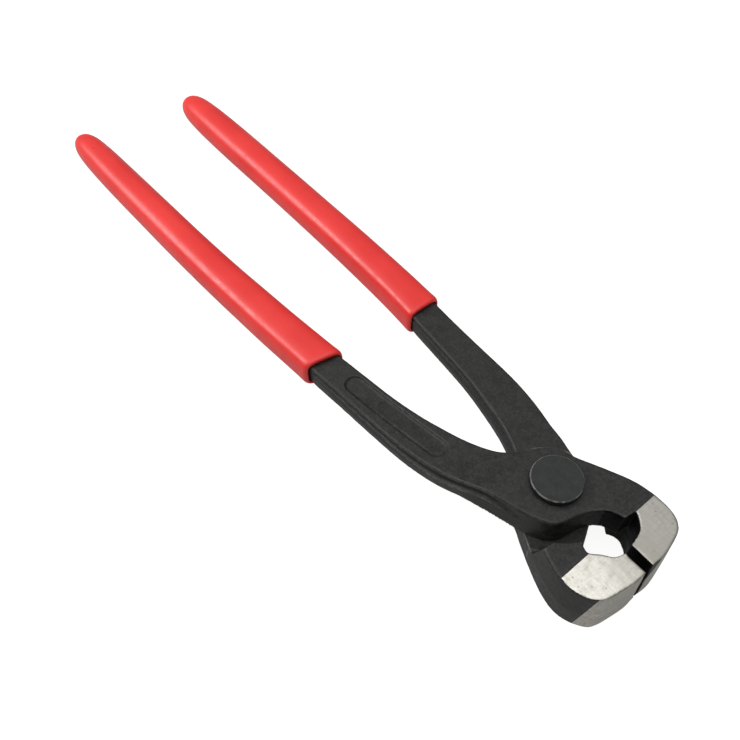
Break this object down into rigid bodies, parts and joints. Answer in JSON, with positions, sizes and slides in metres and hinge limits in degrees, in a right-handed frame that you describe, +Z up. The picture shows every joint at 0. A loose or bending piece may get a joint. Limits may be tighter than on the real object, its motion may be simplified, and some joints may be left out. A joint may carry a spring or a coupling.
{
  "type": "ear clamp pliers",
  "caption": "Hand pliers for crimping ear clamps: forged black levers lapped on a rivet, blunt jaws with a crimping slot and a round hollow, dipped red grips.",
  "frame": {"origin": "on the rivet axis, in the plane of the rivet's lower end, which is the plane the tool lies on", "axes": "+X from the handles to the jaws, +Z up along the rivet axis, +Y towards the handle of the lower lever"},
  "size_m": [0.2206, 0.0517, 0.0191],
  "materials": {
    "forged_steel": "black oxide, matt",
    "rivet_steel": "black oxide, satin",
    "grip_vinyl": "satin dipped vinyl"
  },
  "bodies": {
    "lower_half": {"lever_lower": "forged_steel", "grip_lower": "grip_vinyl", "pivot_rivet": "rivet_steel"},
    "upper_half": {"lever_upper": "forged_steel", "grip_upper": "grip_vinyl"}
  },
  "joints": [
    {"name": "pivot", "type": "hinge", "parent": "lower_half", "child": "upper_half", "pos_m": [0, 0, 0.00945], "axis": [0, 0, 1], "range_deg": [0, 28]}
  ]
}
